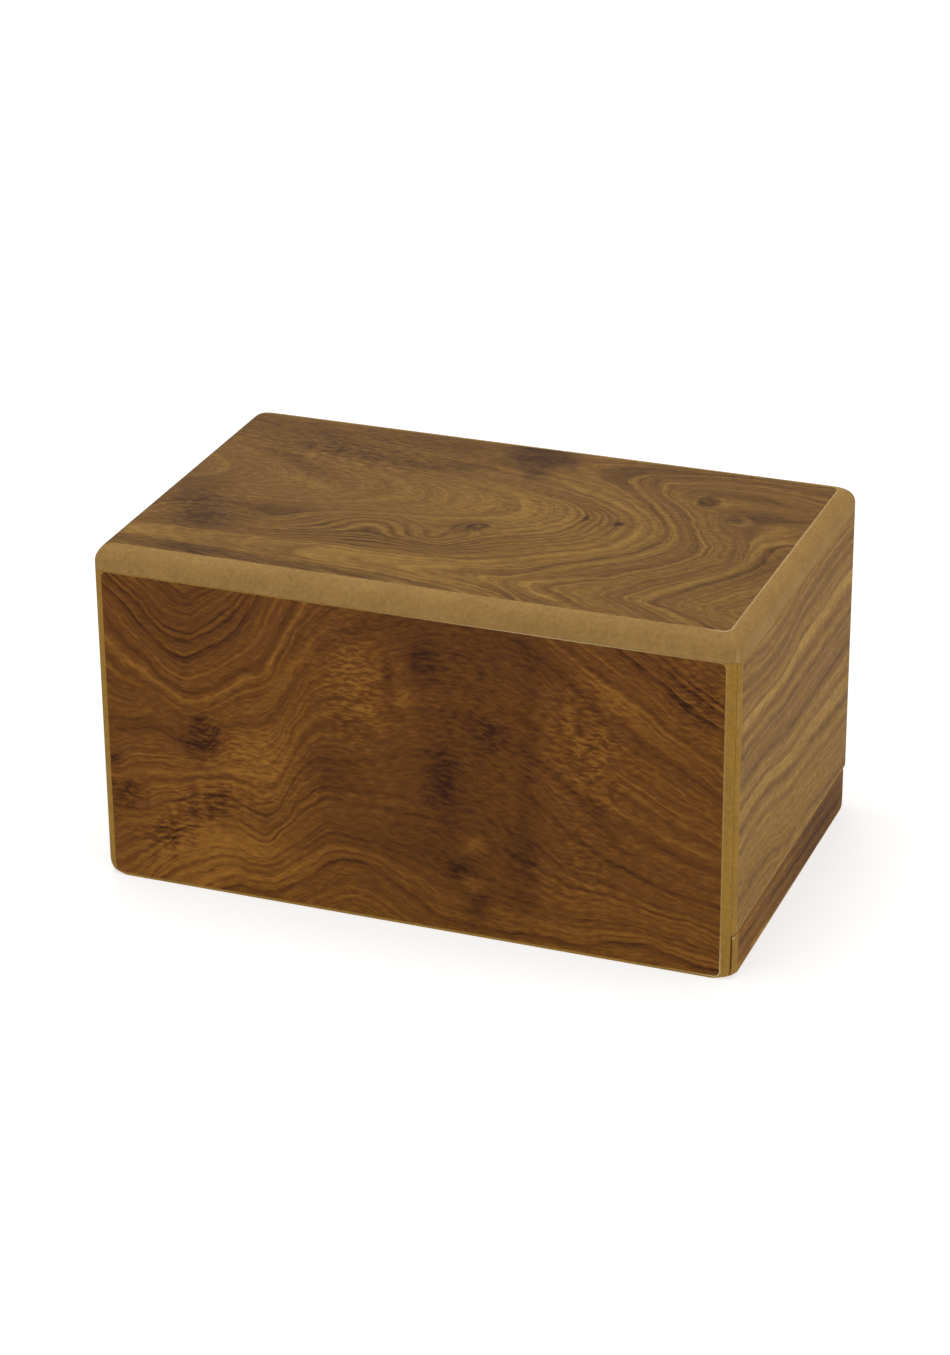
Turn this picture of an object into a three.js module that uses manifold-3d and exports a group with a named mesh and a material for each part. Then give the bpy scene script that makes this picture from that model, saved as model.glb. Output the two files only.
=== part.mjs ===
// A cremation urn box: mitred MDF walls under a flat top board, with the edges routed round,
// and a base board that slides out of grooves at the right end with a strip closing its slot.
// Millimetres, +Z up. The origin is on the ground at the middle of the box. The front faces -Y.
import * as THREE from "three";
import { mergeVertices } from "three/addons/utils/BufferGeometryUtils.js";
import Module from "manifold-3d";

const wasm = await Module();
wasm.setup();

// Driving dimensions of the box
const LENGTH = 245; // along X
const DEPTH = 151; // along Y
const HEIGHT = 133; // along Z
const BOARD = 9; // thickness of the walls and the top
const BASE_BOARD = 5; // thickness of the sliding base
const STRIP_SLOT = 17.7; // height of the slot under the right end panel

// Routed edges
const TOP_ROUND = 6.4; // radius along the four upper edges
const CORNER_ROUND = 4; // radius down the four upright corners
const FOOT_EASE = 3; // radius along the lower edges
const ARC_STEPS = 8; // flats that make up each quarter round

// Fits
const GLUE_LINE = 0.3; // left between glued boards
const RUNNING_GAP = 0.4; // left around the sliding base and its strip
const STRIP_FRONT_GAP = 0.9; // open mitre between the front panel and the strip
const STRIP_BACK_GAP = 2.4; // the strip is cut short at the back
const GROOVE_DEPTH = 4; // cut into the front, back and left panels
const REBATE = 4; // step in the strip that takes the end of the base

// Places worked out from the dimensions
const halfLength = LENGTH / 2;
const halfDepth = DEPTH / 2;
const wallTop = HEIGHT - BOARD;
const stripTop = STRIP_SLOT - RUNNING_GAP;
const baseTop = stripTop;
const baseUnderside = baseTop - BASE_BOARD;
const grooveFloor = halfDepth - BOARD + GROOVE_DEPTH;
const leftGrooveFloor = -halfLength + BOARD - GROOVE_DEPTH;
const rebateWall = halfLength - BOARD + REBATE;
const mitreGap = GLUE_LINE / Math.SQRT2; // along the wall, for a gap of one glue line across the mitre

const burlFoil = (name) =>
  new THREE.MeshStandardMaterial({ name, color: 0x6e4622, roughness: 0.42, metalness: 0 });
const bareMdf = new THREE.MeshStandardMaterial({
  name: "bare_mdf",
  color: 0xa07c4a,
  roughness: 0.7,
  metalness: 0,
});

// A closed geometry as a solid that can be cut and joined
function solidOf(geometry) {
  const bare = geometry.index ? geometry.toNonIndexed() : geometry.clone();
  bare.deleteAttribute("normal");
  bare.deleteAttribute("uv");
  const merged = mergeVertices(bare, 1e-4);
  return new wasm.Manifold(
    new wasm.Mesh({
      numProp: 3,
      vertProperties: new Float32Array(merged.attributes.position.array),
      triVerts: new Uint32Array(merged.index.array),
    }),
  );
}

// The cut solid as a geometry again
function geometryOf(solid) {
  const mesh = solid.getMesh();
  const geometry = new THREE.BufferGeometry();
  geometry.setAttribute("position", new THREE.BufferAttribute(new Float32Array(mesh.vertProperties), 3));
  geometry.setIndex(new THREE.BufferAttribute(new Uint32Array(mesh.triVerts), 1));
  geometry.computeVertexNormals();
  return geometry;
}

// A board of the given corners in plan, standing from one height to another
function standingBoard(corners, from, to) {
  const outline = new THREE.Shape(corners.map(([x, y]) => new THREE.Vector2(x, y)));
  const geometry = new THREE.ExtrudeGeometry(outline, { depth: to - from, bevelEnabled: false });
  return solidOf(geometry.translate(0, 0, from));
}

// A square-edged block between two opposite corners
function block([x0, y0, z0], [x1, y1, z1]) {
  const geometry = new THREE.BoxGeometry(x1 - x0, y1 - y0, z1 - z0);
  return solidOf(geometry.translate((x0 + x1) / 2, (y0 + y1) / 2, (z0 + z1) / 2));
}

// A rectangle, centred on the first axis and standing on it, with its upper and lower corners rounded
function roundedOutline(width, low, high, lowRadius, highRadius) {
  const right = width / 2;
  const outline = new THREE.Shape();
  outline.absarc(right - lowRadius, low + lowRadius, lowRadius, -Math.PI / 2, 0);
  outline.absarc(right - highRadius, high - highRadius, highRadius, 0, Math.PI / 2);
  outline.absarc(-right + highRadius, high - highRadius, highRadius, Math.PI / 2, Math.PI);
  outline.absarc(-right + lowRadius, low + lowRadius, lowRadius, Math.PI, 1.5 * Math.PI);
  return outline;
}

// The outline extruded through the box, centred on the origin along its own depth
function throughBar(outline, depth) {
  const settings = { depth, bevelEnabled: false, curveSegments: ARC_STEPS };
  return new THREE.ExtrudeGeometry(outline, settings).translate(0, 0, -depth / 2);
}

// The routed form that every glued-up board is trimmed to: its plan, its end view and its front view
function routedForm() {
  const plan = throughBar(
    roundedOutline(LENGTH, -halfDepth, halfDepth, CORNER_ROUND, CORNER_ROUND),
    2 * HEIGHT,
  );
  const frontView = throughBar(
    roundedOutline(LENGTH, 0, HEIGHT, FOOT_EASE, TOP_ROUND),
    2 * DEPTH,
  ).rotateX(Math.PI / 2);
  const endView = throughBar(
    roundedOutline(DEPTH, 0, HEIGHT, FOOT_EASE, TOP_ROUND),
    2 * LENGTH,
  )
    .rotateX(Math.PI / 2)
    .rotateZ(Math.PI / 2);
  return solidOf(plan).intersect(solidOf(frontView)).intersect(solidOf(endView));
}

const form = routedForm();

// A long wall on the -Y side, mitred at both ends, with the groove for the base open at its right end
function longWall() {
  const outer = halfLength - mitreGap;
  const inner = outer - BOARD;
  const face = -halfDepth;
  const corners = [
    [-outer, face],
    [outer, face],
    [inner, face + BOARD],
    [-inner, face + BOARD],
  ];
  const groove = block(
    [leftGrooveFloor, -grooveFloor, baseUnderside - RUNNING_GAP],
    [halfLength, 0, baseTop + RUNNING_GAP],
  );
  return standingBoard(corners, 0, wallTop - GLUE_LINE).intersect(form).subtract(groove);
}

// Corners in plan of an end board on the +X side, with its own gap at each mitre
function endCorners(frontGap, backGap) {
  const front = -halfDepth + frontGap;
  const back = halfDepth - backGap;
  const inner = halfLength - BOARD;
  return [
    [halfLength, front],
    [halfLength, back],
    [inner, back - BOARD],
    [inner, front + BOARD],
  ];
}

function leftPanel() {
  const board = standingBoard(
    endCorners(mitreGap, mitreGap).map(([x, y]) => [-x, -y]),
    0,
    wallTop - GLUE_LINE,
  );
  const groove = block(
    [leftGrooveFloor, -grooveFloor, baseUnderside - RUNNING_GAP],
    [0, grooveFloor, baseTop + RUNNING_GAP],
  );
  return board.intersect(form).subtract(groove);
}

function rightPanel() {
  const corners = endCorners(mitreGap, mitreGap);
  return standingBoard(corners, STRIP_SLOT, wallTop - GLUE_LINE).intersect(form);
}

function topPanel() {
  return block([-LENGTH, -DEPTH, wallTop], [LENGTH, DEPTH, HEIGHT]).intersect(form);
}

function baseBoard() {
  const reach = grooveFloor - RUNNING_GAP;
  return block(
    [leftGrooveFloor + RUNNING_GAP, -reach, baseUnderside],
    [rebateWall - GLUE_LINE, reach, baseTop],
  );
}

// The strip that closes the slot, with a step along its inner top edge for the end of the base
function baseEndStrip() {
  const corners = endCorners(mitreGap + STRIP_FRONT_GAP, mitreGap + STRIP_BACK_GAP);
  const rebate = block(
    [0, -DEPTH, baseUnderside - GLUE_LINE],
    [rebateWall, DEPTH, HEIGHT],
  );
  return standingBoard(corners, RUNNING_GAP, stripTop).intersect(form).subtract(rebate);
}

const box = new THREE.Group();

function add(name, solid, material) {
  const mesh = new THREE.Mesh(geometryOf(solid), material);
  mesh.name = name;
  box.add(mesh);
  return mesh;
}

add("top_panel", topPanel(), burlFoil("top_foil"));
add("front_panel", longWall(), burlFoil("front_foil"));
add("back_panel", longWall().mirror([0, 1, 0]), burlFoil("back_foil"));
add("left_panel", leftPanel(), burlFoil("left_foil"));
add("right_panel", rightPanel(), burlFoil("right_foil"));
add("base_board", baseBoard(), bareMdf);
add("base_end_strip", baseEndStrip(), burlFoil("strip_foil"));

export default box;
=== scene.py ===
"""A cremation urn box of MDF boards faced with printed burl foil, with routed edges and a sliding base."""
import math
from typing import NamedTuple

import bmesh
import bpy
from bpy.props import FloatProperty, FloatVectorProperty, IntProperty, PointerProperty
from mathutils import Matrix, Vector


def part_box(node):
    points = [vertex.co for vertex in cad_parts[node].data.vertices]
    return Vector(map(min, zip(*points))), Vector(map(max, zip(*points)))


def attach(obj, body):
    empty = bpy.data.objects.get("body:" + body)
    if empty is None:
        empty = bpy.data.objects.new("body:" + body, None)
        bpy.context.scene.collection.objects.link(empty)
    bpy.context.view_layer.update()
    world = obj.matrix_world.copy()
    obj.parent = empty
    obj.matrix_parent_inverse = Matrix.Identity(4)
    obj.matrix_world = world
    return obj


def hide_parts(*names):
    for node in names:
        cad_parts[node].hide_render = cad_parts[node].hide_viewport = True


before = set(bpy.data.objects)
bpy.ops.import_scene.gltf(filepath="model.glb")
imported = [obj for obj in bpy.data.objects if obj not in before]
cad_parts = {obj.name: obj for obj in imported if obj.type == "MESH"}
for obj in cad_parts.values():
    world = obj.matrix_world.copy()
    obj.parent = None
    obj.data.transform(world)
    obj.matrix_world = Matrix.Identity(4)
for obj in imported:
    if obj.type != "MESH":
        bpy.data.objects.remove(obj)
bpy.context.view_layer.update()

bl_info = {
    "name": "Cremation Urn Box",
    "version": (1, 0, 0),
    "blender": (4, 5, 0),
    "location": "3D View > Sidebar > Urn Box",
    "description": "Finishes a burl-foil cremation urn box on its packed solids",
    "category": "Object",
}

MM = 0.001


def node_box(node):
    """Lowest and highest corner of a solid, in millimetres."""
    low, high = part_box(node)
    return low / MM, high / MM


# Levels and places read from the solids, in millimetres
TOP_LOW, TOP_HIGH = node_box("top_panel")
FRONT_LOW, FRONT_HIGH = node_box("front_panel")
STRIP_LOW, STRIP_HIGH = node_box("base_end_strip")
BASE_LOW, BASE_HIGH = node_box("base_board")
HALF_LENGTH = TOP_HIGH.x
HALF_DEPTH = TOP_HIGH.y
LENGTH, DEPTH, HEIGHT = 2 * HALF_LENGTH * MM, 2 * HALF_DEPTH * MM, TOP_HIGH.z * MM
WALL_TOP = TOP_LOW.z
SLOT = node_box("right_panel")[0].z
BOARD = FRONT_HIGH.y - FRONT_LOW.y
MARGIN = 1.0  # how far a blank stands proud of the form that it is trimmed to


def linear(hex_colour):
    """Linear red, green and blue of an sRGB hex colour."""
    channels = (int(hex_colour[i:i + 2], 16) / 255 for i in (1, 3, 5))
    return tuple(c / 12.92 if c <= 0.04045 else ((c + 0.055) / 1.055) ** 2.4 for c in channels)


def size(name, description, default):
    """A length in metres that a user may change."""
    return FloatProperty(
        name=name, description=description, default=default, subtype="DISTANCE", unit="LENGTH"
    )


def angle(name, description, degrees):
    """A turn in degrees that a user may change."""
    return FloatProperty(
        name=name, description=description, default=math.radians(degrees), subtype="ANGLE"
    )


def colour(name, description, hex_colour):
    """A colour that a user may change."""
    return FloatVectorProperty(
        name=name, description=description, default=linear(hex_colour), subtype="COLOR", min=0, max=1
    )


class UrnBoxSizes(bpy.types.PropertyGroup):
    """Sizes of the routed edges and of the fits between the boards."""

    top_round: size("Top Round", "Radius routed along the upper edges", 6.4 * MM)
    corner_round: size("Corner Round", "Radius routed down the upright corners", 4 * MM)
    foot_ease: size("Foot Ease", "How far the lower edges are sanded in", 0.7 * MM)
    foot_rise: size("Foot Rise", "How far up the walls that sanding runs", 6.5 * MM)
    corner_ease: size("Corner Ease", "How much further the corners are sanded in at the foot", 1.9 * MM)
    glue_line: size("Glue Line", "Open width of a glued joint", 0.12 * MM)
    running_gap: size("Running Gap", "Clearance round the sliding base", 0.4 * MM)
    strip_front_gap: size("Strip Front Gap", "Open mitre between front panel and strip", 0.9 * MM)
    strip_back_gap: size("Strip Back Gap", "How far the strip is cut short at the back", 6.6 * MM)
    back_notch: size("Back Notch", "How far the back wall is cut back behind the strip", 3.5 * MM)
    groove: size("Groove", "Depth of the groove that the base runs in", 4 * MM)
    arc_steps: IntProperty(name="Arc Steps", description="Points on each quarter round", default=20, min=4)


class UrnBoxColours(bpy.types.PropertyGroup):
    """Colours of the printed foil, its paper and the bare board."""

    foil_dark: colour("Foil Dark", "Smoky heart of the burl", "#3c2312")
    foil_mid: colour("Foil Mid", "Body of the print", "#715023")
    foil_light: colour("Foil Light", "Pale bands of the print", "#a17d38")
    paper: colour("Paper", "Cut edge of the foil's paper", "#c4aa7c")
    edge_top: colour("Top Edge", "Lacquered MDF round the top board", "#967542")
    edge_wall: colour("Wall Edge", "Lacquered MDF down the corners", "#967232")
    raw_board: colour("Raw Board", "Unfinished MDF inside", "#a98557")
    floor: colour("Floor", "Pale studio floor", "#bdbdbb")


class UrnBoxStage(bpy.types.PropertyGroup):
    """Camera and light of the studio."""

    camera_place: FloatVectorProperty(
        name="Camera Place",
        description="Where the camera stands",
        default=(0.4537, -1.2020, 0.6650),
        subtype="TRANSLATION",
        unit="LENGTH",
    )
    azimuth: angle("Azimuth", "Turn of the view to the left", 20.80)
    pitch: angle("Pitch", "How far the view looks down", 24.96)
    roll: angle("Roll", "Tilt of the horizon", -0.42)
    lens: FloatProperty(
        name="Lens", description="Focal length on a 36 mm frame", default=100.45, subtype="DISTANCE_CAMERA"
    )
    floor_reach: size("Floor Reach", "Half the width of the floor", 6.0)


def add(tree, kind, links=None, operation=None, **settings):
    """Add a node, set it up, fill its inputs with values or links, and return its first live output.

    The inputs are given in their order as a list, or by their names or numbers.
    """
    node = tree.nodes.new(kind)
    if operation:
        node.operation = operation
    for name, value in settings.items():
        setattr(node, name, value)
    if isinstance(links, list):
        links = dict(enumerate(links))
    for key, value in (links or {}).items():
        if isinstance(key, int):
            socket = node.inputs[key]
        else:
            socket = next(s for s in node.inputs if s.name == key and s.enabled)
        for item in value if isinstance(value, list) else [value]:
            if isinstance(item, bpy.types.NodeSocket):
                tree.links.new(item, socket)
            else:
                socket.default_value = item
    return next((s for s in node.outputs if s.enabled), None)


# Kinds of node that are used often
MATHS = "ShaderNodeMath"
VECTORS = "ShaderNodeVectorMath"
SPLIT = "ShaderNodeSeparateXYZ"
JOIN = "ShaderNodeCombineXYZ"
MIX = "ShaderNodeMix"
NOISE = "ShaderNodeTexNoise"
RANGE = "ShaderNodeMapRange"
MAPPING = "ShaderNodeMapping"

# The routed form's own sizes
ROUTED_SIZES = (
    "Length", "Depth", "Height", "Top Round", "Corner Round", "Corner Ease", "Foot Ease", "Foot Rise",
)
# Each corner is drawn over twice its round, so that the sanding can fade out along the walls,
# with the power of the rounded square that has the same depth at its middle
CORNER_SPREAD = 2.0
CORNER_POWER = math.log(0.5) / math.log(1 - (1 - math.sqrt(0.5)) / CORNER_SPREAD)

# Edges that bend more than this stay sharp
SHARP_BEND = math.radians(25)


class Patch(NamedTuple):
    """A soft oval on a face, which adds its strength to a value there.

    Its middle and half widths are in millimetres and its turn in degrees. A hard one has a sharper edge.
    """

    u: float
    v: float
    wide: float
    high: float
    strength: float = 1.0
    turn: float = 0.0
    hard: float = 1.0


class Ring(NamedTuple):
    """A dark or pale line of the print: its level among the growth lines, half width and strength."""

    level: float
    width: float
    strength: float


class Figure(NamedTuple):
    """The burl figure printed on one face.

    The growth lines are drawn as a few key lines, each a level and points along the face,
    and the lines between them follow. They run across the face, or up it where upright is set.
    Swells push the lines aside, tints darken or lighten the print, curls crinkle it, calms fade the
    lines, bolds strengthen them, and the warm patches take blue out of the print: low on the walls
    this is painted warm light from the floor, elsewhere a shift of the print's own hue. Each face's tint
    is painted light and shade on what is one foil: darker and redder on the shaded front, lighter and
    bluer with painted reflection on the lit right side, and between these on the back and left. Grain
    is the strength of the fine lines, wander is how unsteadily they run, and fibre is the length of the
    finest marks in millimetres.
    """

    lines: dict
    rings: list
    swells: list
    tints: list
    curls: list
    calms: list = []
    bolds: list = []
    # Patches that take blue out: painted warm light from the floor low on the walls, a shift of the
    # print's hue elsewhere
    hues_and_warm_bounce: list = []
    upright: bool = False
    # Painted light and shade: each face's copy of the one foil made lighter or darker, warmer or bluer
    painted_light_tint: tuple = (1.0, 1.0, 1.0)
    grain: float = 0.6
    wander: float = 1.0
    fibre: float = 5.0


FRONT_FIGURE = Figure(
    # Painted shade: the front, turned from the light, is made darker and redder
    painted_light_tint=(0.88, 0.65, 0.5),
    grain=0.7,
    lines={
        0: [
            (-122, -30), (-100, -16), (-84, -6), (-72, 3), (-67, 5), (-60, 4), (-55, 3.5), (-50, 6),
            (-44, 10.5), (-37, 15.5), (-30, 21), (-22, 23), (-16, 22), (-10, 19.5), (0, 13.5), (13, 6),
            (30, 5), (56, 5), (67, 5.5), (79, 8.5), (89, 9), (100, 6.5), (110, 3.5), (122, 5),
        ],
        18: [
            (-122, -9), (-108, 3), (-98, 13), (-90, 19.5), (-80, 23), (-71, 23.5), (-63, 21),
            (-58, 20.5), (-53, 23.5), (-45, 30), (-38, 36), (-30, 40), (-22, 39), (-10, 38), (10, 36),
            (44, 25), (60, 21), (79, 20), (89, 19.5), (100, 18), (110, 16), (122, 12),
        ],
        36: [
            (-122, 30), (-105, 33), (-95, 35), (-80, 39.5), (-71, 40.5), (-64, 38), (-57, 35),
            (-51.5, 38), (-46.5, 49), (-38.5, 59.5), (-30, 62.5), (-23, 63.5), (-10, 67), (10, 72),
            (30, 69), (50, 58), (61, 49), (68.5, 44.5), (84, 37.5), (105, 31), (122, 29),
        ],
        70: [
            (-122, 60), (-110, 62), (-98, 64.5), (-89, 61.5), (-81, 62.5), (-72, 68.5), (-66, 71.5),
            (-58, 73), (-53, 76), (-49, 81.5), (-45, 89), (-40, 98), (-35, 105), (-22, 113.5),
            (-5, 121), (20, 128), (40, 122), (50, 116), (61, 108.5), (71, 100.5), (80, 94), (100, 82),
            (122, 70),
        ],
        92: [
            (-122, 110), (-110, 98), (-102, 91.5), (-94, 84), (-86, 80.5), (-80, 82), (-71, 88),
            (-63, 93), (-58, 96), (-53, 102), (-50, 108.5), (-46, 116), (-41, 124), (-20, 142),
            (20, 150), (45, 133), (60, 119.5), (70, 113.5), (80, 108), (89, 102), (100, 94), (122, 81),
        ],
        108: [
            (-122, 121), (-115, 116), (-107, 108.5), (-99, 100.5), (-91, 95.5), (-86, 94), (-80, 97),
            (-75, 100.5), (-68, 106.5), (-63, 113.5), (-59, 120), (-50, 142), (0, 175), (40, 165),
            (60, 140), (75, 127), (84, 120), (101, 108), (122, 95),
        ],
    },
    rings=[
        Ring(-4, 2.4, 0.2), Ring(0, 0.9, -0.42), Ring(3.4, 0.6, -0.22), Ring(5.5, 1.4, 0.14),
        Ring(8, 0.6, -0.24), Ring(11, 0.7, -0.28), Ring(14.5, 0.6, -0.22), Ring(17, 1.6, 0.16),
        Ring(20, 0.6, -0.22), Ring(23, 0.7, -0.24), Ring(27, 0.6, -0.16), Ring(36, 1.3, -0.3),
        Ring(61, 1.2, -0.2), Ring(69, 1.5, -0.28), Ring(74, 2, 0.12), Ring(79, 1.3, -0.24),
        Ring(87.5, 1.4, 0.12), Ring(92, 1.1, -0.26), Ring(100, 0.7, -0.2), Ring(104, 0.6, -0.16),
        Ring(108, 0.7, -0.22), Ring(111.5, 0.6, -0.16), Ring(114, 0.6, -0.2), Ring(117.5, 0.6, -0.16),
    ],
    swells=[Patch(-81, 62, 7, 7, 4), Patch(-117, 49, 5, 5, 4), Patch(-110, 34, 7, 6, 4)],
    tints=[
        Patch(-90, 112, 26, 20, -0.12), Patch(-81, 63, 9, 9, -0.36, 0, 1.5),
        Patch(-118, 49, 5, 3, -0.4), Patch(-112, 35, 8, 5, -0.34), Patch(-80, 35, 10, 4, -0.34, 20),
        Patch(-96, 21, 7, 4, -0.34, 20), Patch(-95, 38, 22, 12, 0.12), Patch(-59, 55, 18, 20, 0.24),
        Patch(-85, 10, 22, 8, 0.2, 35), Patch(-62, 19, 22, 8, 0.16), Patch(-30, 57, 11, 11, -0.2),
        Patch(-7, 98, 3, 8, -0.3, 20), Patch(6, 108, 6, 9, -0.3), Patch(26, 108, 26, 16, -0.16),
        Patch(31, 81, 9, 9, -0.2), Patch(13, 62, 7, 14, -0.28), Patch(20, 55, 26, 50, -0.16),
        Patch(46, 80, 4, 45, -0.16), Patch(43, 30, 6, 18, -0.2), Patch(26, 14, 6, 6, -0.34),
        Patch(20, 27, 6, 4, -0.25, 20), Patch(-2, 92, 2.5, 8, 0.26, 15),
        Patch(-13, 82, 6, 3.5, 0.24, -20), Patch(25, 38, 4, 3, 0.34), Patch(25, 21, 4, 3, 0.3),
        Patch(-20, 100, 10, 14, 0.12), Patch(82, 100, 24, 3.5, 0.2, -36),
        Patch(108, 106, 14, 12, -0.1, -35), Patch(72, 56, 3, 12, -0.2, 40), Patch(2, 36, 50, 12, -0.16),
        Patch(0, 12, 60, 10, -0.05), Patch(-43.5, 97, 20, 2.5, 0.2, 51), Patch(30, 118, 110, 10, -0.07),
        Patch(-20, 6, 120, 12, 0.06), Patch(-97, 22, 24, 18, 0.08),
    ],
    curls=[
        Patch(-60, 55, 18, 14, 0.4), Patch(-80, 36, 16, 7, 0.9, 15), Patch(-95, 21, 12, 7, 1.0, 15),
        Patch(-113, 36, 8, 6, 0.8), Patch(-81, 63, 9, 9, 0.6), Patch(-20, 93, 12, 26, 0.75),
        Patch(68, 84, 14, 24, 0.85), Patch(27, 85, 22, 34, 0.3), Patch(108, 108, 10, 14, 0.7),
        Patch(66, 36, 10, 12, 0.5),
    ],
    calms=[Patch(24, 70, 34, 62, 1.0), Patch(-18, 88, 14, 30, 0.7), Patch(70, 84, 14, 22, 0.7)],
    # Less blue along the foot, painted warm light from the floor; more blue along the top edge
    hues_and_warm_bounce=[Patch(0, 4, 110, 26, 0.12), Patch(0, 128, 140, 26, -0.2)],
)
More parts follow.
